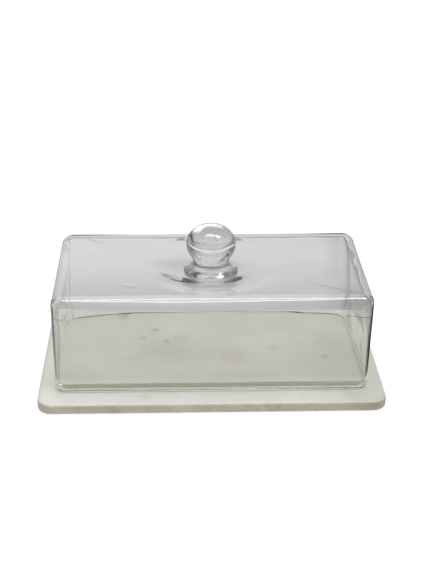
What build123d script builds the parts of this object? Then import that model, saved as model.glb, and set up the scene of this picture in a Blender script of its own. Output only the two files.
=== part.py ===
from build123d import *
import math
import os

# A cheese dome: a rectangular cover of hand-blown glass with a glass knob, standing on a
# marble board. Millimetres, +Z up. X runs along the board, Y from its front to its back.
# The origin is on the table, under the middle of the board.

# ---------------------------------------------------------------- driving dimensions

BOARD_LENGTH = 305.0
BOARD_DEPTH = 168.0
BOARD_THICKNESS = 9.5
BOARD_CORNER_RADIUS = 13.5
BOARD_TOP_ROUNDING = 3.0
BOARD_BOTTOM_ROUNDING = 1.5

PAD_DIAMETER = 12.0
PAD_HEIGHT = 1.2
PAD_EDGE_ROUNDING = 0.4
PAD_INSET = 24.0  # from the board's edges to a pad's centre

DOME_LENGTH = 276.0
DOME_DEPTH = 139.0
DOME_HEIGHT = 91.0
DOME_BACK_SHIFT = 5.0  # the dome stands a little behind the middle of the board
DOME_CORNER_RADIUS = 11.5
DOME_SHOULDER_RADIUS = 9.0
WALL = 3.3

LIP_THICKNESS = 5.2  # the wall thickens inwards at the open rim
LIP_HEIGHT = 7.0
LIP_INNER_ROUNDING = 1.2
LIP_BOTTOM_ROUNDING = 1.3

DISH_DEPTH = 6.5  # how far the top sinks where the knob was pressed on
DISH_SEAT_RADIUS = 24.0
DISH_RIM_RADIUS = 58.0

FOOT_BASE_RADIUS = 21.5
FOOT_RIM_RADIUS = 23.0
FOOT_RIM_HEIGHT = 3.0
FOOT_HEIGHT = 13.2
FLARE_HOLLOW = 1.3  # how far the flared side curves in from a straight cone

BALL_RADIUS = 22.4
BALL_HALF_HEIGHT = 17.0  # the ball is flattened from above
BALL_CUT = 12.5  # from the ball's centre down to the plane where it joins the foot

# ---------------------------------------------------------------- levels and places

BOARD_BOTTOM_Z = PAD_HEIGHT
BOARD_TOP_Z = BOARD_BOTTOM_Z + BOARD_THICKNESS
DOME_TOP_Z = BOARD_TOP_Z + DOME_HEIGHT
SEAT_Z = DOME_TOP_Z - DISH_DEPTH
FOOT_TOP_Z = SEAT_Z + FOOT_HEIGHT
BALL_CENTRE_Z = FOOT_TOP_Z + BALL_CUT
DOME_PLACE = Pos(0, DOME_BACK_SHIFT, 0)


# ---------------------------------------------------------------- shapes used more than once

def rounded_prism(length, depth, radius, low, high):
    """An upright prism with a rounded-rectangle outline, from one height to another."""
    outline = RectangleRounded(length, depth, radius)
    return Pos(0, 0, low) * extrude(outline, amount=high - low)


def top_edges(shape):
    return shape.edges().group_by(Axis.Z)[-1]


def bottom_edges(shape):
    return shape.edges().group_by(Axis.Z)[0]


def turned(*profile):
    """A solid turned about the Z axis from a closed profile in X and Z."""
    flat = Plane.XZ * make_face(profile)
    return revolve(flat, Axis.Z)


# ---------------------------------------------------------------- marble board and its pads

def marble_board():
    """A slab with rounded corners and softly rounded edges."""
    slab = rounded_prism(
        BOARD_LENGTH, BOARD_DEPTH, BOARD_CORNER_RADIUS, BOARD_BOTTOM_Z, BOARD_TOP_Z
    )
    slab = fillet(top_edges(slab), BOARD_TOP_ROUNDING)
    return fillet(bottom_edges(slab), BOARD_BOTTOM_ROUNDING)


def bumper_pad(side_x, side_y):
    """A small clear disc stuck under one corner of the board."""
    pad = Cylinder(
        PAD_DIAMETER / 2, PAD_HEIGHT, align=(Align.CENTER, Align.CENTER, Align.MIN)
    )
    pad = fillet(bottom_edges(pad), PAD_EDGE_ROUNDING)
    x = side_x * (BOARD_LENGTH / 2 - PAD_INSET)
    y = side_y * (BOARD_DEPTH / 2 - PAD_INSET)
    return Pos(x, y, 0) * pad


# ---------------------------------------------------------------- glass dome

def space_above_dish(rim_z):
    """Everything above a flat seat and the soft S-curve that rises from it to the rim."""
    seat_z = rim_z - DISH_DEPTH
    lid_z = rim_z + 2 * DOME_HEIGHT
    middle = ((DISH_SEAT_RADIUS + DISH_RIM_RADIUS) / 2, rim_z - DISH_DEPTH / 2)
    seat = Line((0, seat_z), (DISH_SEAT_RADIUS, seat_z))
    rise = TangentArc(seat @ 1, middle, tangent=(1, 0))
    ease = TangentArc(middle, (DISH_RIM_RADIUS, rim_z), tangent=rise % 1)
    side = Line(ease @ 1, (DISH_RIM_RADIUS, lid_z))
    lid = Line(side @ 1, (0, lid_z))
    axis = Line(lid @ 1, seat @ 0)
    return turned(seat, rise, ease, side, lid, axis)


def glass_dome():
    """A five-sided glass box, open below, with a dished top and a thicker rounded lip."""
    outside = rounded_prism(
        DOME_LENGTH, DOME_DEPTH, DOME_CORNER_RADIUS, BOARD_TOP_Z, DOME_TOP_Z
    )
    outside = fillet(top_edges(outside), DOME_SHOULDER_RADIUS)
    outside = fillet(bottom_edges(outside), LIP_BOTTOM_ROUNDING)
    outside -= space_above_dish(DOME_TOP_Z)

    lip_top = BOARD_TOP_Z + LIP_HEIGHT
    hollow = rounded_prism(
        DOME_LENGTH - 2 * WALL,
        DOME_DEPTH - 2 * WALL,
        DOME_CORNER_RADIUS - WALL,
        lip_top,
        DOME_TOP_Z - WALL,
    )
    hollow = fillet(top_edges(hollow), DOME_SHOULDER_RADIUS - WALL)
    hollow -= space_above_dish(DOME_TOP_Z - WALL)

    mouth = rounded_prism(
        DOME_LENGTH - 2 * LIP_THICKNESS,
        DOME_DEPTH - 2 * LIP_THICKNESS,
        DOME_CORNER_RADIUS - LIP_THICKNESS,
        BOARD_TOP_Z,
        lip_top,
    )
    dome = outside - hollow - mouth
    dome = fillet(mouth_edges(dome, lip_top), LIP_INNER_ROUNDING)
    dome = fillet(mouth_edges(dome, BOARD_TOP_Z), LIP_BOTTOM_ROUNDING)
    return DOME_PLACE * dome


def mouth_edges(dome, z):
    """The inner outline of the dome's level ring at one height."""
    slack = 0.01
    ring = dome.faces().filter_by(Plane.XY).filter_by_position(Axis.Z, z - slack, z + slack)
    return ring[0].inner_wires()[0].edges()


# ---------------------------------------------------------------- glass knob

def knob_foot():
    """The gather pressed onto the dome: a rounded rim with a flared side above it."""
    neck_radius = ball_radius_at_cut()
    base = Line((0, SEAT_Z), (FOOT_BASE_RADIUS, SEAT_Z))
    rim_middle = (FOOT_RIM_RADIUS, SEAT_Z + FOOT_RIM_HEIGHT / 2)
    rim_top = (FOOT_BASE_RADIUS, SEAT_Z + FOOT_RIM_HEIGHT)
    rim = ThreePointArc(base @ 1, rim_middle, rim_top)
    flare_middle = (
        (FOOT_BASE_RADIUS + neck_radius) / 2 - FLARE_HOLLOW,
        (rim_top[1] + FOOT_TOP_Z) / 2,
    )
    flare = ThreePointArc(rim_top, flare_middle, (neck_radius, FOOT_TOP_Z))
    top = Line(flare @ 1, (0, FOOT_TOP_Z))
    axis = Line(top @ 1, base @ 0)
    return DOME_PLACE * turned(base, rim, flare, top, axis)


def knob_ball():
    """A flattened ball with a flat under it where it was pressed onto the foot."""
    flattening = (1, 1, BALL_HALF_HEIGHT / BALL_RADIUS)
    ball = Pos(0, 0, BALL_CENTRE_Z) * scale(Sphere(BALL_RADIUS), by=flattening)
    joint_plane = Plane(origin=(0, 0, FOOT_TOP_Z))
    return DOME_PLACE * split(ball, joint_plane, keep=Keep.TOP)


def ball_radius_at_cut():
    """The radius of the circle in which the ball meets the foot."""
    return BALL_RADIUS * math.sqrt(1 - (BALL_CUT / BALL_HALF_HEIGHT) ** 2)


# ---------------------------------------------------------------- the assembly

nodes = {
    "marble_board": marble_board(),
    "glass_dome": glass_dome(),
    "knob_foot": knob_foot(),
    "knob_ball": knob_ball(),
}
for side_y, row in ((-1, "front"), (1, "back")):
    for side_x, column in ((-1, "left"), (1, "right")):
        nodes[f"bumper_pad_{row}_{column}"] = bumper_pad(side_x, side_y)

os.makedirs("parts", exist_ok=True)
for name, shape in nodes.items():
    export_step(shape, f"parts/{name}.step")
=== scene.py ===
from math import asin, atan2, cos, hypot, pi, radians, sin, tau
from random import Random

import bpy
from mathutils import Euler, Matrix, Vector, noise


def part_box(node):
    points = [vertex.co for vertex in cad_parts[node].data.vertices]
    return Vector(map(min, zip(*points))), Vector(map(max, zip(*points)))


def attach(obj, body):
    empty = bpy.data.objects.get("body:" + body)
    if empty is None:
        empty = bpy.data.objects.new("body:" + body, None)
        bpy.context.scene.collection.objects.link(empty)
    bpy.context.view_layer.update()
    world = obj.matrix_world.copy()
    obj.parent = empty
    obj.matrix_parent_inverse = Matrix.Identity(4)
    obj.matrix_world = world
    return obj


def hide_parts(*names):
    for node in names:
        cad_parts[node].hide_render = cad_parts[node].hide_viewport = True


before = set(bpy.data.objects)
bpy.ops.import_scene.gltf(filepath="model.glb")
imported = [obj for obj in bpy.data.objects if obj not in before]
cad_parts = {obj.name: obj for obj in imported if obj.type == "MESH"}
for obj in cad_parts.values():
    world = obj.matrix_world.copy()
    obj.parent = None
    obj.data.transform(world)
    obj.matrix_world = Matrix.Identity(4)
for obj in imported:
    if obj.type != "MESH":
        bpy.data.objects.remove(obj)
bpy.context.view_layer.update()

# A cheese dome: a hand-blown glass cover with a glass knob on a marble board. Metres, in the
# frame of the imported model: +X along the board, +Y to its back, +Z up, the table at z = 0.

MM = 0.001

# ---------------------------------------------------------------- places taken from the frame

board_low, board_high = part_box("marble_board")
dome_low, dome_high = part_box("glass_dome")
foot_low, foot_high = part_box("knob_foot")
ball_low, ball_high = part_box("knob_ball")

DOME_CENTRE = (dome_low + dome_high) / 2
HALF_LENGTH = (dome_high.x - dome_low.x) / 2
HALF_DEPTH = (dome_high.y - dome_low.y) / 2
TOP_Z = dome_high.z
BASE_Z = dome_low.z
SEAT_Z = foot_low.z - 0.8 * MM  # the glass sagged a little under the hot knob
NECK_Z = foot_high.z

# ---------------------------------------------------------------- sizes of the glass

CORNER_RADIUS = 11.5 * MM
SHOULDER_AT_CORNERS = 9.0 * MM
SHOULDER_AT_MIDDLES = 10.0 * MM  # blown glass rounds off more along the middle of a side
SHOULDER_REACH = 1.4 * MM  # the inner shoulder starts this much nearer the middle of the top
SHOULDER_DROP = 1.1 * MM  # and ends this much lower down the wall
WALL = 3.3 * MM
CROWN_AT_CORNERS = 3.6 * MM  # the wall's thickness where it turns over into the top
CROWN_AT_MIDDLES = 2.4 * MM
CROWN_START = 26.0 * MM  # below the top, where the wall starts to change towards the crown
CROWN_RISE = 16.0 * MM  # the height over which it changes
END_THINNING = 1.1 * MM  # the end walls are thinner than the long ones
CORNER_THINNING = 0.2 * MM  # and the glass stretched a little into the mould's corners
LIP_IN_FRONT = 6.8 * MM  # the lip is thickest along the front
LIP_BEHIND = 4.0 * MM
LIP_AT_ENDS = 2.4 * MM
LIP_HEIGHT = 8.5 * MM
LIP_SLOPE = 6.9 * MM  # the height over which the lip thins to the wall
LIP_ROUNDING = 1.1 * MM
DISH_DEPTH = TOP_Z - SEAT_Z
DISH_SEAT = 22.0 * MM
DISH_RIM = (66.0 * MM, 58.0 * MM)  # the dish reaches further along X than along Y
EXTRA_UNDER_KNOB = 2.0 * MM  # the glass is thicker under the knob
SPREAD_LEFT, SPREAD_RIGHT, SPREAD_DEEP = 64 * MM, 42 * MM, 28 * MM  # and how far that reaches
SPREAD_EASE = 0.6  # the share of the reach over which it fades out
JOINT_OVERLAP = 1.0 * MM  # fused parts of the glass run this far into each other
SLOW_WAVE, SLOW_WAVE_LENGTH = 0.35 * MM, 70 * MM
QUICK_WAVE, QUICK_WAVE_LENGTH = 0.10 * MM, 22 * MM
OUTSIDE_SEED, INSIDE_SEED = 3.1, 8.3  # the waves of the two faces are different
QUICK_SEED_SHIFT = 2.6

BACK_LEFT, FRONT_RIGHT = 1, -1  # the two corners that the mould's seam runs to
SEAM_START = {BACK_LEFT: 0.68, FRONT_RIGHT: 0.58}  # as a share of the way to the corner
SEAM_RADIUS = 0.35 * MM
SEAM_DEPTH = 1.2 * MM  # below the outside of the glass
SEAM_TAPER = 25  # points over which the thread gets as thick as that

TOP_RINGS, CEILING_RINGS = 110, 70  # level rings of the flat top, outside and inside
SMALLEST_RING = 0.012  # as a share of the flat's border
SHOULDER_STEPS = 14
OUTSIDE_WALL_STEPS, INSIDE_WALL_STEPS = 30, 60
LIP_STEPS = 6

# ---------------------------------------------------------------- mesh helpers


def new_piece(name, vertices, faces, material, smooth=True):
    """A mesh object in the scene with one material."""
    mesh = bpy.data.meshes.new(name)
    mesh.from_pydata(vertices, [], faces)
    mesh.validate()
    mesh.materials.append(material)
    mesh.polygons.foreach_set("use_smooth", [smooth] * len(mesh.polygons))
    piece = bpy.data.objects.new(name, mesh)
    bpy.context.scene.collection.objects.link(piece)
    return piece


def skin(rings):
    """Vertices and faces of a closed skin over rings of equal length, closed at both ends."""
    count = len(rings[0])
    vertices = [point for ring in rings for point in ring]
    faces = []
    for row in range(len(rings) - 1):
        here = row * count
        for i in range(count):
            j = (i + 1) % count
            faces.append((here + i, here + count + i, here + count + j, here + j))
    for row, ring in ((0, rings[0]), (len(rings) - 1, rings[-1])):
        middle = len(vertices)
        vertices.append(sum((Vector(p) for p in ring), Vector()) / count)
        for i in range(count):
            ends = (row * count + i, row * count + (i + 1) % count)
            faces.append((middle, *ends) if row == 0 else (middle, *ends[::-1]))
    return vertices, faces


def joined(*skins):
    """Several closed skins as one mesh."""
    vertices, faces = [], []
    for more_vertices, more_faces in skins:
        start = len(vertices)
        vertices += more_vertices
        faces += [tuple(start + corner for corner in face) for face in more_faces]
    return vertices, faces


def inside_out(vertices, faces):
    """A skin turned to face the other way, for a hollow in the glass."""
    return vertices, [face[::-1] for face in faces]


def tube(path, radii):
    """A closed round thread along a path, with a radius at every point of it."""
    rings = []
    for i, (place, radius) in enumerate(zip(path, radii)):
        ahead = (path[min(i + 1, len(path) - 1)] - path[max(i - 1, 0)]).normalized()
        side = ahead.orthogonal() if i == 0 else side - side.dot(ahead) * ahead
        side = side.normalized()
        over = ahead.cross(side)
        rings.append([
            place + radius * (cos(turn) * side + sin(turn) * over)
            for turn in steps(0, -tau, 8)[:-1]
        ])
    return skin(rings)


def wander(point, length, seed):
    """Smooth noise from -1 to 1 that changes over about one length."""
    return noise.noise(Vector(point) / length + Vector((seed, 2.7 * seed, -seed)))


def smooth_step(t):
    """0 up to 0, 1 from 1, and a smooth rise between."""
    t = min(max(t, 0.0), 1.0)
    return t * t * (3 - 2 * t)


def steps(start, end, count):
    """Evenly spaced values from start to end."""
    return [start + (end - start) * i / count for i in range(count + 1)]


def rounded_outline(half_x, half_y, radius, spacing):
    """A rounded rectangle: (place, outward direction, side, along) for every point. side is
    0 on the long sides, 1 on the short ones and None on corners; along runs from -1 to 1."""
    loop = []
    ways = ((1, 1), (-1, 1), (-1, -1), (1, -1))
    for index, (way_x, way_y) in enumerate(ways):
        centre = Vector((way_x * (half_x - radius), way_y * (half_y - radius), 0))
        for angle in steps(0, 90, 12):
            turn = radians(90 * index + angle)
            out = Vector((cos(turn), sin(turn), 0))
            loop.append((centre + radius * out, out, None, 1.0))
        start = loop[-1][0]
        next_x, next_y = ways[(index + 1) % 4]
        end = Vector((next_x * (half_x - radius), next_y * (half_y - radius), 0)) + radius * out
        count = round((end - start).length / spacing)
        for t in steps(0, 1, count)[1:-1]:
            loop.append((start.lerp(end, t), out, index % 2, 2 * t - 1))
    return loop


# ---------------------------------------------------------------- material helpers


def shader_tree(name):
    """A new material with an empty tree and its output."""
    material = bpy.data.materials.new(name)
    material.use_nodes = True
    tree = material.node_tree
    tree.nodes.clear()
    return material, tree, tree.nodes.new("ShaderNodeOutputMaterial")


def add_node(tree, kind, inputs, **settings):
    """A shader node; inputs maps its sockets to plain values or to other nodes' sockets."""
    made = tree.nodes.new("ShaderNode" + kind)
    for key, value in settings.items():
        setattr(made, key, value)
    for key, value in inputs.items():
        if isinstance(value, bpy.types.NodeSocket):
            tree.links.new(value, made.inputs[key])
        else:
            made.inputs[key].default_value = value
    return made


def maths(tree, operation, *values):
    return add_node(tree, "Math", dict(enumerate(values)), operation=operation).outputs[0]


def ramp(tree, value, start, end, low=0.0, high=1.0):
    """Low at start rising or falling smoothly to high at end."""
    return add_node(tree, "MapRange", {
        "Value": value, "From Min": start, "From Max": end, "To Min": low, "To Max": high,
    }, interpolation_type="SMOOTHSTEP").outputs["Result"]


def mottle(tree, place, scale, detail=3.0, roughness=0.5, distortion=0.0):
    """Cloudy noise about 0.5; scale is in features per metre."""
    return add_node(tree, "TexNoise", {
        "Vector": place, "Scale": scale, "Detail": detail, "Roughness": roughness,
        "Distortion": distortion,
    }).outputs["Fac"]


def blend(tree, amount, first, second, way="MIX"):
    """A colour between two colours, or the two colours joined in another way."""
    return add_node(
        tree, "Mix", {0: amount, 6: first, 7: second}, data_type="RGBA", blend_type=way
    ).outputs[2]


def mix_values(tree, amount, first, second):
    return add_node(tree, "Mix", {0: amount, 2: first, 3: second}).outputs[0]


def split_up(tree, vector):
    """The X, Y and Z of a vector."""
    return add_node(tree, "SeparateXYZ", {0: vector}).outputs


def place_in(tree):
    return add_node(tree, "TexCoord", {}).outputs["Object"]


# ---------------------------------------------------------------- glass

PASSED_NEAR_LIP = (0.72, 0.74, 0.62, 1)  # the light that each face lets through to the board
PASSED_ABOVE_LIP = (0.965, 0.97, 0.96, 1)


def glass_material(name, absorbed, density, ripple, ripple_scale):
    """Clear soda glass, faintly grey-green in its depth, with a rippled fire-polished skin."""
    material, tree, output = shader_tree(name)
    place = place_in(tree)
    bump = add_node(tree, "Bump", {
        "Height": mottle(tree, place, ripple_scale, 2.0), "Distance": ripple, "Strength": 1.0,
    })
    shader = add_node(tree, "BsdfPrincipled", {
        "Base Color": (1, 1, 1, 1), "Roughness": 0.0, "IOR": 1.5, "Transmission Weight": 1.0,
        "Normal": bump.outputs["Normal"],
    })
    above_lip = ramp(tree, split_up(tree, place)[2], BASE_Z + LIP_HEIGHT * 0.3, BASE_Z + LIP_HEIGHT)
    passed = blend(tree, above_lip, PASSED_NEAR_LIP, PASSED_ABOVE_LIP)
    see_through = add_node(tree, "BsdfTransparent", {"Color": passed})
    path = add_node(tree, "LightPath", {})  # soft light passes straight through the glass
    surface = add_node(tree, "MixShader", {
        0: path.outputs["Is Shadow Ray"], 1: shader.outputs[0], 2: see_through.outputs[0],
    })
    tree.links.new(surface.outputs[0], output.inputs["Surface"])
    volume = add_node(tree, "VolumeAbsorption", {"Color": (*absorbed, 1), "Density": density})
    tree.links.new(volume.outputs[0], output.inputs["Volume"])
    return material


# ---------------------------------------------------------------- marble

CREAM, PALE_GREY = (0.86, 0.85, 0.79, 1), (0.79, 0.80, 0.72, 1)
BLUSH = (0.80, 0.74, 0.675, 1)
VEIN = (0.62, 0.63, 0.585, 1)
GREY_MARK, TAN_MARK = (0.40, 0.40, 0.355, 1), (0.74, 0.645, 0.555, 1)
# painted shade: the colour of the glass's shade, painted into the board's colour
PAINTED_SHADE = (0.51, 0.50, 0.44, 1)
CLEAN_SIDE, STAINED_SIDE = (0.98, 0.93, 0.80, 1), (0.80, 0.735, 0.61, 1)
OTHER_NOISE = (3.1, 1.7, 0.4)  # a shift, so that two noises don't follow each other

MARK_RAGGEDNESS = 9 * MM
MARK_STRENGTH = 0.6
GREY_MARKS = (
    # x, y and radius in mm: small grey inclusions in the board's top
    (-83, 64, 9), (-52, 47, 6), (-62, 31, 4), (-40, 24, 5), (106, -7, 5),
)
TAN_MARKS = ((-28, 30, 14), (23, -4, 22), (60, 8, 10), (-60, -72, 9), (120, -70, 12))


def marks(tree, colour, place, places, mark_colour):
    """The colour with soft ragged marks laid over it."""
    ragged = maths(tree, "MULTIPLY", mottle(tree, place, 190, 4, 0.65), MARK_RAGGEDNESS)
    usual = MARK_RAGGEDNESS / 2
    for x, y, radius in places:
        spot = (x * MM, y * MM, board_high.z)
        away = add_node(tree, "VectorMath", {0: place, 1: spot}, operation="DISTANCE")
        reach = maths(tree, "ADD", away.outputs["Value"], ragged)
        amount = ramp(tree, reach, usual, usual + radius * MM, MARK_STRENGTH, 0)
        colour = blend(tree, amount, colour, mark_colour)
    return colour


def from_dome(tree, place):
    """How far a place is from the line that the dome's rounded corners are drawn about."""
    split = split_up(tree, place)
    squares = []
    for axis, half in ((0, HALF_LENGTH), (1, HALF_DEPTH)):
        from_centre = maths(tree, "SUBTRACT", split[axis], DOME_CENTRE[axis])
        beyond = maths(tree, "SUBTRACT", maths(tree, "ABSOLUTE", from_centre), half - CORNER_RADIUS)
        outside = maths(tree, "MAXIMUM", beyond, 0.0)
        squares.append(maths(tree, "MULTIPLY", outside, outside))
    return maths(tree, "SQRT", maths(tree, "ADD", *squares))


# strengths of the painted shade of the glass on the board
SHADE_OUTSIDE_RIGHT, SHADE_OUTSIDE_BACK, SHADE_INSIDE = 0.55, 0.5, 0.2
SHADE_EDGE = 2 * MM  # half the width of the change under the dome's outline


def painted_glass_shade(tree, place):
    """How much painted shade the board gets. It stands for the shade of the glass, which soft
    light through clear glass leaves too pale: outside the dome along its back and its right end,
    and faintly inside it along its front and its right end."""
    x, y = split_up(tree, place)[:2]
    outside = ramp(tree, from_dome(tree, place), CORNER_RADIUS - SHADE_EDGE, CORNER_RADIUS + SHADE_EDGE)
    right = ramp(tree, x, 0.70 * HALF_LENGTH, HALF_LENGTH, 0, SHADE_OUTSIDE_RIGHT)
    back = ramp(tree, y, 0.70 * HALF_DEPTH, HALF_DEPTH, 0, SHADE_OUTSIDE_BACK)
    beyond = maths(tree, "MULTIPLY", maths(tree, "MAXIMUM", right, back), outside)
    front = ramp(tree, y, -0.3 * HALF_DEPTH, -0.85 * HALF_DEPTH, 0, SHADE_INSIDE)
    near_right = ramp(tree, x, 0.3 * HALF_LENGTH, HALF_LENGTH, 0, SHADE_INSIDE)
    within = maths(tree, "SUBTRACT", 1.0, outside)
    inside = maths(tree, "MULTIPLY", maths(tree, "MAXIMUM", front, near_right), within)
    return maths(tree, "ADD", beyond, inside)


def top_colour(tree, place, elsewhere):
    """Creamy white with faint clouds, a pink blush, veins, small marks, and painted shade of the
    glass along its margins.
    """
    clouds = ramp(tree, mottle(tree, place, 15, 5, 0.6, 0.5), 0.36, 0.64)
    colour = blend(tree, clouds, CREAM, PALE_GREY)
    blush = ramp(tree, mottle(tree, elsewhere, 19, 4, 0.55, 0.8), 0.52, 0.72, 0, 0.55)
    colour = blend(tree, blush, colour, BLUSH)
    vein_noise = maths(tree, "SUBTRACT", mottle(tree, elsewhere, 11, 6, 0.55, 1.6), 0.5)
    vein = ramp(tree, maths(tree, "ABSOLUTE", vein_noise), 0, 0.03, 0.08, 0)
    colour = blend(tree, vein, colour, VEIN)
    colour = marks(tree, colour, place, GREY_MARKS, GREY_MARK)
    colour = marks(tree, colour, place, TAN_MARKS, TAN_MARK)
    # painted shade of the glass, laid over the marble's own colour
    return blend(tree, painted_glass_shade(tree, place), colour, PAINTED_SHADE)


def marble_material():
    """White marble with a honed top and rougher, warmer, stained sawn sides."""
    material, tree, output = shader_tree("white_marble")
    place = place_in(tree)
    shifted = add_node(tree, "VectorMath", {0: place, 1: OTHER_NOISE}, operation="ADD")
    elsewhere = shifted.outputs[0]
    normal = add_node(tree, "NewGeometry", {}).outputs["Normal"]
    side = ramp(tree, split_up(tree, normal)[2], 0.92, 0.55)
    stain = ramp(tree, mottle(tree, elsewhere, 55, 5, 0.65, 0.4), 0.35, 0.7)
    side_tint = blend(tree, stain, CLEAN_SIDE, STAINED_SIDE)
    tint = blend(tree, side, (1, 1, 1, 1), side_tint)
    colour = blend(tree, 1.0, top_colour(tree, place, elsewhere), tint, "MULTIPLY")
    grain = mottle(tree, place, 1300, 3, 0.6)
    wear = mottle(tree, place, 260, 3, 0.6)
    roughness = mix_values(tree, side, ramp(tree, wear, 0.3, 0.7, 0.32, 0.46), 0.72)
    saw_marks = maths(tree, "MULTIPLY", wear, maths(tree, "MULTIPLY", side, 5.0))
    relief = maths(tree, "ADD", grain, saw_marks)
    bump = add_node(tree, "Bump", {"Height": relief, "Distance": 0.03 * MM, "Strength": 0.6})
    shader = add_node(tree, "BsdfPrincipled", {
        "Base Color": colour, "Roughness": roughness, "Normal": bump.outputs["Normal"],
    })
    tree.links.new(shader.outputs[0], output.inputs["Surface"])
    return material


# ---------------------------------------------------------------- rubber

CLEAR_RUBBER, DUSTY_RUBBER = (0.66, 0.67, 0.65, 1), (0.50, 0.50, 0.47, 1)


def pad_material():
    """Milky clear rubber, dusted and scuffed."""
    material, tree, output = shader_tree("clear_rubber")
    scuffs = mottle(tree, place_in(tree), 900, 4, 0.6)
    colour = blend(tree, ramp(tree, scuffs, 0.4, 0.7), CLEAR_RUBBER, DUSTY_RUBBER)
    bump = add_node(tree, "Bump", {"Height": scuffs, "Distance": 0.02 * MM, "Strength": 0.5})
    shader = add_node(tree, "BsdfPrincipled", {
        "Base Color": colour, "Roughness": ramp(tree, scuffs, 0.3, 0.7, 0.25, 0.5),
        "Transmission Weight": 0.3, "Normal": bump.outputs["Normal"],
    })
    tree.links.new(shader.outputs[0], output.inputs["Surface"])
    return material


# ---------------------------------------------------------------- the dome


def dome_outline():
    """The dome's outline: (place, outward direction, shoulder's radius, thickness of the
    crown, thickness of the lip, thinning of the wall) for every point."""
    loop = []
    for place, out, side, along in rounded_outline(HALF_LENGTH, HALF_DEPTH, CORNER_RADIUS, 4 * MM):
        shoulder, crown = SHOULDER_AT_CORNERS, CROWN_AT_CORNERS
        if side is not None:
            middling = 1 - along ** 2
            shoulder += (SHOULDER_AT_MIDDLES - shoulder) * middling
            crown += (CROWN_AT_MIDDLES - crown) * middling * (side == 0)
        facing_end = out.x ** 2
        lip = LIP_IN_FRONT if out.y < 0 else LIP_BEHIND
        lip += (LIP_AT_ENDS - lip) * facing_end
        thinning = END_THINNING * facing_end + CORNER_THINNING * abs(2 * out.x * out.y)
        loop.append((place, out, shoulder, crown, lip, thinning))
    return loop


def dish(x, y):
    """How far the top has sunk at a place, measured from the middle of the dome."""
    r = hypot(x, y)
    if r < DISH_SEAT:
        return DISH_DEPTH
    turn = atan2(y, x)
    rim = 1 / hypot(cos(turn) / DISH_RIM[0], sin(turn) / DISH_RIM[1])
    return DISH_DEPTH * smooth_step((rim - r) / (rim - DISH_SEAT))


DENTS = (
    # x, y, heading in degrees, half-length, half-width and depth, mm: tool marks in the top
    (-30, -27, -24, 20, 10, 0.5),
    (-73, -41, -18, 9, 3, 0.4),
)


def dents(x, y):
    """How deep the tool marks are at a place."""
    depth = 0
    for spot_x, spot_y, heading, half_length, half_width, deepest in DENTS:
        along = (x / MM - spot_x) * cos(radians(heading)) + (y / MM - spot_y) * sin(radians(heading))
        across = (y / MM - spot_y) * cos(radians(heading)) - (x / MM - spot_x) * sin(radians(heading))
        depth += deepest * MM * smooth_step(1 - hypot(along / half_length, across / half_width))
    return depth


def thickening(x, y):
    """The knob's foot spread into the glass below it, further to the left than to the right."""
    reach = SPREAD_LEFT if x < 0 else SPREAD_RIGHT
    return EXTRA_UNDER_KNOB * smooth_step((1 - hypot(x / reach, y / SPREAD_DEEP)) / SPREAD_EASE)


def glass_point(place, out, up, face):
    """A place on the dome's skin made wavy, and sunk on the top. face is 1 outside, -1 inside."""
    seed = OUTSIDE_SEED if face > 0 else INSIDE_SEED
    push = SLOW_WAVE * wander(place, SLOW_WAVE_LENGTH, seed)
    push += QUICK_WAVE * wander(place, QUICK_WAVE_LENGTH, seed + QUICK_SEED_SHIFT)
    sunk = up * dish(place.x, place.y)
    sunk += up * (dents(place.x, place.y) if face > 0 else thickening(place.x, place.y))
    shift = push * (1 - up) * out + Vector((0, 0, push * up - sunk))
    return Vector((DOME_CENTRE.x, DOME_CENTRE.y, 0)) + place + shift


def outside_stations(shoulder):
    """Down the outside of the glass: (inset from the outline, height, how much it faces up)."""
    stations = []
    for turn in steps(pi / 2, 0, SHOULDER_STEPS):
        drop = shoulder * (1 - sin(turn))
        stations.append((shoulder * (1 - cos(turn)), TOP_Z - drop, sin(turn)))
    for z in steps(TOP_Z - shoulder, BASE_Z + LIP_ROUNDING, OUTSIDE_WALL_STEPS)[1:]:
        stations.append((0, z, 0))
    for turn in steps(0, pi / 2, LIP_STEPS)[1:]:
        stations.append((LIP_ROUNDING * (1 - cos(turn)), BASE_Z + LIP_ROUNDING * (1 - sin(turn)), 0))
    return stations


def inside_stations(shoulder, crown, lip, thinning):
    """Round the lip and up the inside of the glass."""
    stations = []
    for turn in steps(pi / 2, 0, LIP_STEPS):
        inset = lip - LIP_ROUNDING * (1 - cos(turn))
        stations.append((inset, BASE_Z + LIP_ROUNDING * (1 - sin(turn)), 0))
    shoulder_z = TOP_Z - shoulder - SHOULDER_DROP
    for z in steps(BASE_Z + LIP_ROUNDING, shoulder_z, INSIDE_WALL_STEPS)[1:]:
        above_lip = min(max((z - BASE_Z - LIP_HEIGHT + LIP_SLOPE) / LIP_SLOPE, 0), 1)
        near_crown = smooth_step((z - TOP_Z + CROWN_START) / CROWN_RISE)
        inset = lip + (WALL - thinning - lip) * above_lip + (crown - WALL) * near_crown
        stations.append((inset, z, 0))
    across = shoulder + SHOULDER_REACH - crown + thinning
    rise = TOP_Z - WALL - shoulder_z
    for turn in steps(0, pi / 2, SHOULDER_STEPS)[1:]:
        inset = crown - thinning + across * (1 - cos(turn))
        stations.append((inset, shoulder_z + rise * sin(turn), sin(turn)))
    return stations


def ring_at(loop, stations, row, face):
    """The ring through one row of the stations."""
    ring = []
    for (place, out, *glass), station in zip(loop, stations):
        inset, z, up = station[row]
        ring.append(glass_point(place - inset * out + Vector((0, 0, z)), out, up, face))
    return ring


def level_ring(loop, share, z, face):
    """A ring in the flat of the top, outside or under it, as a share of its border."""
    ring = []
    for place, out, shoulder, *glass in loop:
        border = shoulder if face > 0 else shoulder + SHOULDER_REACH
        flat = (place - border * out) * share
        ring.append(glass_point(flat + Vector((0, 0, z)), out, 1, face))
    return ring


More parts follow.
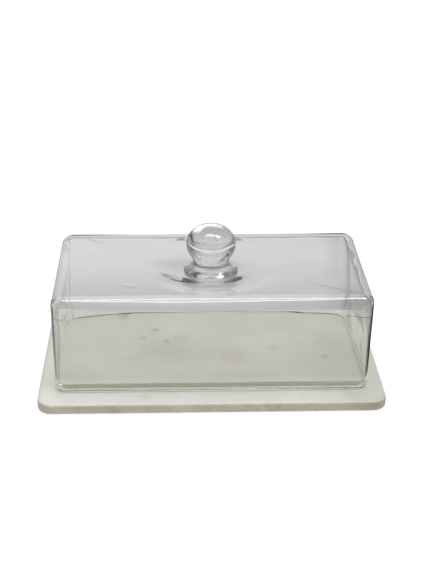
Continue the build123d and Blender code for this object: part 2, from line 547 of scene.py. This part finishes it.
def dome_skin():
    """From the middle of the top, out and down, round the lip, and up to the ceiling's middle."""
    loop = dome_outline()
    outside = [outside_stations(shoulder) for place, out, shoulder, *glass in loop]
    inside = [inside_stations(*glass) for place, out, *glass in loop]
    outwards = steps(SMALLEST_RING, 1, TOP_RINGS)[:-1]
    inwards = steps(1, SMALLEST_RING, CEILING_RINGS)[1:]
    rings = [level_ring(loop, share, TOP_Z, 1) for share in outwards]
    rings += [ring_at(loop, outside, row, 1) for row in range(len(outside[0]))]
    rings += [ring_at(loop, inside, row, -1) for row in range(len(inside[0]))]
    rings += [level_ring(loop, share, TOP_Z - WALL, -1) for share in inwards]
    return skin(rings)


def mould_seam(way):
    """A fine thread of air trapped along the mould's seam, from inside the top down a corner."""
    out = Vector((-way, way, 0)).normalized()
    corner = Vector((-way * (HALF_LENGTH - CORNER_RADIUS), way * (HALF_DEPTH - CORNER_RADIUS), 0))
    corner += CORNER_RADIUS * out
    path = []
    for share in steps(SEAM_START[way], 1, 40)[:-1]:
        flat = (corner - SHOULDER_AT_CORNERS * out) * share
        path.append(glass_point(flat + Vector((0, 0, TOP_Z - SEAM_DEPTH)), out, 1, 1))
    for inset, z, up in outside_stations(SHOULDER_AT_CORNERS)[:-LIP_STEPS]:
        inwards = SEAM_DEPTH * (1 - up) * out + Vector((0, 0, SEAM_DEPTH * up))
        path.append(glass_point(corner - inset * out + Vector((0, 0, z)) - inwards, out, up, 1))
    radii = [SEAM_RADIUS * smooth_step((i + 2) / SEAM_TAPER) for i in range(len(path))]
    return inside_out(*tube(path, radii))


# ---------------------------------------------------------------- the knob

KNOB_SEGMENTS = 128
LUMP_LENGTH, SMALL_LUMP_LENGTH, SMALL_LUMP_SHARE = 15 * MM, 5 * MM, 0.25


def turned(profile, uneven, seed):
    """A skin turned about the knob's axis from (radius, height) points, slightly uneven."""
    rings = []
    for radius, z in profile:
        ring = []
        for turn in steps(0, tau, KNOB_SEGMENTS)[:-1]:
            place = Vector((radius * cos(turn), radius * sin(turn), z))
            small = SMALL_LUMP_SHARE * wander(place, SMALL_LUMP_LENGTH, seed + 4)
            push = uneven * (wander(place, LUMP_LENGTH, seed) + small)
            r = radius + push * min(1, radius / SMALL_LUMP_LENGTH)
            ring.append((DOME_CENTRE.x + r * cos(turn), DOME_CENTRE.y + r * sin(turn), z))
        rings.append(ring)
    return skin(rings)


COLLAR = (
    # radius and height above the seat, mm: from the neck down the flared side to the rim
    (14.0, 13.2), (15.6, 13.1), (16.2, 12.5), (16.2, 11.0), (16.2, 9.2), (16.6, 7.6),
    (17.5, 6.5), (18.9, 5.6), (20.4, 4.65), (21.9, 3.7), (23.3, 2.7), (24.2, 1.5), (24.2, 0.3),
)
COLLAR_TOP = (0.5, 5, 10)  # radii of the rings that close its ends, mm
COLLAR_BOTTOM = (22.0, 21.5, 14, 7, 0.5)
COLLAR_UNEVENNESS, COLLAR_SEED = 0.3 * MM, 1.3


def collar_skin():
    """The foot: a flared collar that runs a little into the dome under it."""
    profile = [(r * MM, NECK_Z) for r in COLLAR_TOP]
    profile += [(r * MM, SEAT_Z + h * MM) for r, h in COLLAR]
    profile += [(r * MM, SEAT_Z - JOINT_OVERLAP) for r in COLLAR_BOTTOM]
    return turned(profile, COLLAR_UNEVENNESS, COLLAR_SEED)


BALL_RADIUS = (ball_high.x - ball_low.x) / 2
BALL_CUT = 12.5 * MM  # from the ball's centre down to the collar
BALL_EXTRA = 1.2 * MM  # the ball bulges this much above its plain shape
BALL_HALF_HEIGHT = ball_high.z - ball_low.z - BALL_CUT + BALL_EXTRA
BALL_CENTRE_Z = ball_low.z + BALL_CUT
BALL_UNEVENNESS, BALL_SEED = 0.7 * MM, 4.3

BUBBLES = 60
BUBBLE_RADII = (0.2, 0.55)  # mm
BUBBLE_REACH = 0.84  # the share of the ball that holds them
LOWEST_BUBBLE = -0.5  # as a share of the ball's half-height


def bubbles():
    """Small seeds of air caught in the ball, as skins that face into their hollows."""
    draw = Random(7)
    seeds = []
    while len(seeds) < BUBBLES:
        spot = Vector([draw.uniform(-1, 1) for axis in range(3)])
        if spot.length > 1 or spot.z < LOWEST_BUBBLE:
            continue
        centre = Vector((
            DOME_CENTRE.x + BUBBLE_REACH * BALL_RADIUS * spot.x,
            DOME_CENTRE.y + BUBBLE_REACH * BALL_RADIUS * spot.y,
            BALL_CENTRE_Z + BUBBLE_REACH * BALL_HALF_HEIGHT * spot.z,
        ))
        radius = draw.uniform(*BUBBLE_RADII) * MM
        rings = []
        for level in steps(1.3, -1.3, 5):  # nearly from pole to pole
            rings.append([
                centre + radius * Vector((cos(level) * cos(t), cos(level) * sin(t), sin(level)))
                for t in steps(0, tau, 10)[:-1]
            ])
        seeds.append(inside_out(*skin(rings)))
    return joined(*seeds)


def ball_skin():
    """The flattened ball, running a little into the collar, with its bubbles."""
    low = -asin((BALL_CUT + JOINT_OVERLAP) / BALL_HALF_HEIGHT)
    profile = []
    for t in steps(pi / 2 - 0.02, low, 60):
        profile.append((BALL_RADIUS * cos(t), BALL_CENTRE_Z + BALL_HALF_HEIGHT * sin(t)))
    edge, bottom = profile[-1]
    profile += [(edge * share, bottom) for share in (0.9, 0.5, 0.05)]
    return joined(turned(profile, BALL_UNEVENNESS, BALL_SEED), bubbles())


# ---------------------------------------------------------------- the board

SLAB_CORNER = 13.5 * MM
SLAB_TOP_EDGE, SLAB_BOTTOM_EDGE = 2.2 * MM, 1.5 * MM  # radii of the rounded edges
SLAB_UNEVENNESS, SLAB_WEAR_LENGTH, SLAB_SEED = 0.25 * MM, 30 * MM, 6.1
DEEPEST_INSET = SLAB_CORNER - 0.5 * MM  # further in, the rings would cross at the corners
PAD_ROUNDING = 0.4  # of the lower edge, as a share of the pad's height


def slab_skin():
    """The board: a level slab with rounded corners and edges, not quite true."""
    half_x = (board_high.x - board_low.x) / 2
    half_y = (board_high.y - board_low.y) / 2
    loop = rounded_outline(half_x, half_y, SLAB_CORNER, 3 * MM)
    top, bottom = SLAB_TOP_EDGE, SLAB_BOTTOM_EDGE
    stations = [(DEEPEST_INSET, board_high.z), (1.4 * top, board_high.z)]
    for turn in steps(pi / 2, 0, 6):
        stations.append((top * (1 - cos(turn)), board_high.z - top * (1 - sin(turn))))
    for turn in steps(0, pi / 2, 5):
        stations.append((bottom * (1 - cos(turn)), board_low.z + bottom * (1 - sin(turn))))
    stations += [(2 * bottom, board_low.z), (8 * bottom, board_low.z)]
    rings = []
    for inset, z in stations:
        ring = []
        for place, out, side, along in loop:
            here = place - inset * out + Vector((0, 0, z))
            worn = 0.5 + 0.5 * wander(here, SLAB_WEAR_LENGTH, SLAB_SEED)
            ring.append(here - SLAB_UNEVENNESS * worn * out)
        rings.append(ring)
    return skin(rings)


def pad_skin(node):
    """A small stuck-on disc with a rounded lower edge."""
    low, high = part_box(node)
    radius = (high.x - low.x) / 2
    height = high.z - low.z
    profile = [(share * radius, high.z) for share in (0.05, 0.6, 0.95, 1)]
    round_off = PAD_ROUNDING * height
    for turn in steps(0, pi / 2, 5):
        r = radius - round_off * (1 - cos(turn))
        profile.append((r, low.z + round_off * (1 - sin(turn))))
    profile.append((0.05 * radius, low.z))
    centre = (low + high) / 2
    rings = []
    for r, z in profile:
        rings.append([
            Vector((centre.x + r * cos(t), centre.y + r * sin(t), z)) for t in steps(0, tau, 40)[:-1]
        ])
    return skin(rings)


# ---------------------------------------------------------------- build

blown_glass = glass_material("blown_glass", (0.55, 0.66, 0.58), 10, 0.02 * MM, 60)
knob_glass = glass_material("knob_glass", (0.6, 0.66, 0.58), 6, 0.12 * MM, 200)
marble = marble_material()
rubber = pad_material()

glass_and_seam = joined(dome_skin(), mould_seam(BACK_LEFT), mould_seam(FRONT_RIGHT))
dome = new_piece("blown_glass_dome", *glass_and_seam, blown_glass)
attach(dome, "dome")
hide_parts("glass_dome")

foot = new_piece("knob_collar", *collar_skin(), knob_glass)
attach(foot, "dome")
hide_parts("knob_foot")

ball = new_piece("knob_gather", *ball_skin(), knob_glass)
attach(ball, "dome")
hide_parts("knob_ball")

slab = new_piece("marble_slab", *slab_skin(), marble)
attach(slab, "base")
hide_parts("marble_board")

for row in ("front", "back"):
    for column in ("left", "right"):
        pad = new_piece(f"foot_pad_{row}_{column}", *pad_skin(f"bumper_pad_{row}_{column}"), rubber)
        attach(pad, "base")
        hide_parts(f"bumper_pad_{row}_{column}")

# ---------------------------------------------------------------- camera

PITCH, YAW, ROLL = 27.91, -2.77, 0.88
CAMERA_PLACE = Vector((-36.3 * MM, -856.5 * MM, board_low.z + 531.8 * MM))
IMAGE_HEIGHT = 577
FOCAL_PIXELS = 1076.2


def add_camera():
    data = bpy.data.cameras.new("camera")
    data.sensor_fit = "VERTICAL"
    data.sensor_height = 36
    data.lens = data.sensor_height * FOCAL_PIXELS / IMAGE_HEIGHT
    data.clip_start = 0.01
    data.clip_end = 100
    camera = bpy.data.objects.new("camera", data)
    look = Euler((radians(90 - PITCH), 0, radians(YAW))).to_matrix()
    camera.matrix_world = Matrix.Translation(CAMERA_PLACE) @ (
        look @ Matrix.Rotation(radians(ROLL), 3, "Z")
    ).to_4x4()
    bpy.context.scene.collection.objects.link(camera)
    bpy.context.scene.camera = camera


add_camera()

# ---------------------------------------------------------------- studio


# The floor's painted light as the glass sees it: a glowing sheet with painted shade round the dome
SHEET_WIDENING = 0.13  # how much each side of the glowing sheet spreads for every metre back
LEFT_OF_SHEET, RIGHT_OF_SHEET = 0.3, 0.05  # what is left of its brightness past its sides
BEHIND_SHEET = 0.15  # and past its far end
OPEN_FLOOR = 0.8
SEEN_BY_MARBLE = 0.85


def sheet_across(tree, x, y):
    """The glowing sheet's painted brightness from side to side: it fades past both ends of the dome.
    """
    widening = maths(tree, "MULTIPLY", maths(tree, "MAXIMUM", y, 0.0), SHEET_WIDENING)
    leftwards = maths(tree, "SUBTRACT", maths(tree, "MULTIPLY", x, -1.0), widening)
    rightwards = maths(tree, "SUBTRACT", x, widening)
    left_fade = ramp(tree, leftwards, 0.15, 0.25, 1, LEFT_OF_SHEET)
    right_fade = ramp(tree, rightwards, 0.100, 0.19, 1, RIGHT_OF_SHEET)
    slope = ramp(tree, x, -0.25, 0.25, 1.03, 0.95)
    return maths(tree, "MULTIPLY", slope, maths(tree, "MULTIPLY", left_fade, right_fade))


def sheet_along(tree, y):
    """The glowing sheet's painted brightness from front to back: bright ahead of the dome, painted
    shade beside its front half, and brighter again behind it as far as the sheet's far end."""
    behind = ramp(tree, y, 0.06, 0.24, 0.43, 0.71)
    ahead = ramp(tree, y, -0.09, -0.30, 0, 0.9)
    beside = ramp(tree, y, 0.02, -0.08, 0, -0.35)
    total = maths(tree, "ADD", behind, maths(tree, "ADD", ahead, beside))
    return maths(tree, "MULTIPLY", total, ramp(tree, y, 0.40, 0.60, 1, BEHIND_SHEET))


def away_from_dome(tree, x, y):
    """1 on the open floor: far behind the dome, and well out to its sides and its front."""
    outwards = maths(tree, "SUBTRACT", maths(tree, "ABSOLUTE", x), y)
    far_behind = ramp(tree, y, 0.60, 0.80)
    return maths(tree, "MAXIMUM", ramp(tree, outwards, 0.24, 0.42), far_behind)


def floor_material():
    """White to the eye, and to the glass a glowing sheet of painted light, with painted shade round
    the dome, on an evenly glowing floor.
    """
    material, tree, output = shader_tree("white_table")
    x, y = split_up(tree, place_in(tree))[:2]
    painted_sheet_glow = maths(tree, "MULTIPLY", sheet_across(tree, x, y), sheet_along(tree, y))
    seen_by_glass = mix_values(tree, away_from_dome(tree, x, y), painted_sheet_glow, OPEN_FLOOR)
    path = add_node(tree, "LightPath", {})
    strength = mix_values(tree, path.outputs["Is Diffuse Ray"], seen_by_glass, SEEN_BY_MARBLE)
    # painted light: the floor glows though no lamp is there, with painted shade round the dome
    painted_glow = add_node(tree, "Emission", {"Strength": strength})
    white = add_node(tree, "Emission", {"Strength": 0.8})
    shaded = add_node(tree, "BsdfDiffuse", {"Color": (0.35, 0.35, 0.35, 1)})
    seen_by_eye = add_node(tree, "AddShader", {0: white.outputs[0], 1: shaded.outputs[0]})
    surface = add_node(tree, "MixShader", {
        0: path.outputs["Is Camera Ray"], 1: painted_glow.outputs[0], 2: seen_by_eye.outputs[0],
    })
    tree.links.new(surface.outputs[0], output.inputs["Surface"])
    return material


def add_floor():
    size = 6
    corners = [(-size, -size, 0), (size, -size, 0), (size, size, 0), (-size, size, 0)]
    floor = new_piece("table", corners, [(0, 1, 2, 3)], floor_material(), smooth=False)


def direction(azimuth, elevation):
    """A unit vector; azimuth 0 is straight behind the dome and 90 to its right."""
    flat = cos(radians(elevation))
    return (flat * sin(radians(azimuth)), flat * cos(radians(azimuth)), sin(radians(elevation)))


ROOM = 0.06
PATCHES = (
    # direction, inner and outer half-angle in degrees, brightness added
    (direction(90, 68), 7, 14, 7.8),
    (direction(0, 28), 12, 56, 0.62),
    (direction(180, 10), 10, 80, 0.2),
    (direction(-90, 12), 10, 50, 0.25),
    (direction(90, 12), 10, 50, 0.30),
)
SOFTBOX = ((-0.30, 0.60), (-0.08, 0.10))  # its sides along X and Y on a ceiling one unit up
SOFTBOX_EDGE = 0.05
SOFTBOX_BRIGHTNESS = 10.0
HORIZON_GLOW = 0.4
FULL_GLOW, END_OF_GLOW = 0.06, 0.22  # heights above and below the horizon, as sines


def softbox(tree, way):
    """A bright rectangle on the ceiling with soft edges."""
    split = split_up(tree, way)
    up = maths(tree, "MAXIMUM", split[2], 0.05)
    inside = SOFTBOX_BRIGHTNESS
    for axis, (low, high) in enumerate(SOFTBOX):
        on_ceiling = maths(tree, "DIVIDE", split[axis], up)
        rise = ramp(tree, on_ceiling, low - SOFTBOX_EDGE, low + SOFTBOX_EDGE)
        fall = ramp(tree, on_ceiling, high - SOFTBOX_EDGE, high + SOFTBOX_EDGE, 1, 0)
        inside = maths(tree, "MULTIPLY", inside, maths(tree, "MULTIPLY", rise, fall))
    return inside


def horizon(tree, way):
    """A faint glow along the horizon, but not behind the dome."""
    split = split_up(tree, way)
    height = maths(tree, "ABSOLUTE", split[2])
    glow = ramp(tree, height, END_OF_GLOW, FULL_GLOW, 0, HORIZON_GLOW)
    return maths(tree, "MULTIPLY", glow, ramp(tree, split[1], 0.75, 0.35))


def add_world():
    """White to the eye, and to the glass and the marble a dim room with soft lights."""
    world = bpy.data.worlds.new("studio")
    world.use_nodes = True
    tree = world.node_tree
    way = add_node(tree, "TexCoord", {}).outputs["Generated"]
    total = maths(tree, "ADD", softbox(tree, way), ROOM)
    total = maths(tree, "ADD", total, horizon(tree, way))
    for centre, inner, outer, brightness in PATCHES:
        near = add_node(tree, "VectorMath", {0: way, 1: centre}, operation="DOT_PRODUCT")
        edge, full = cos(radians(outer)), cos(radians(inner))
        patch = ramp(tree, near.outputs["Value"], edge, full, 0, brightness)
        total = maths(tree, "ADD", patch, total)
    path = add_node(tree, "LightPath", {})
    seen = mix_values(tree, path.outputs["Is Camera Ray"], total, 1.0)
    background = tree.nodes["Background"]
    background.inputs["Color"].default_value = (1, 1, 1, 1)
    tree.links.new(seen, background.inputs["Strength"])
    bpy.context.scene.world = world


add_floor()
add_world()

scene = bpy.context.scene
scene.view_settings.view_transform = "Standard"
scene.cycles.max_bounces = 24
scene.cycles.transmission_bounces = 24
scene.cycles.glossy_bounces = 12
scene.cycles.transparent_max_bounces = 16
scene.cycles.caustics_reflective = False
scene.cycles.caustics_refractive = False
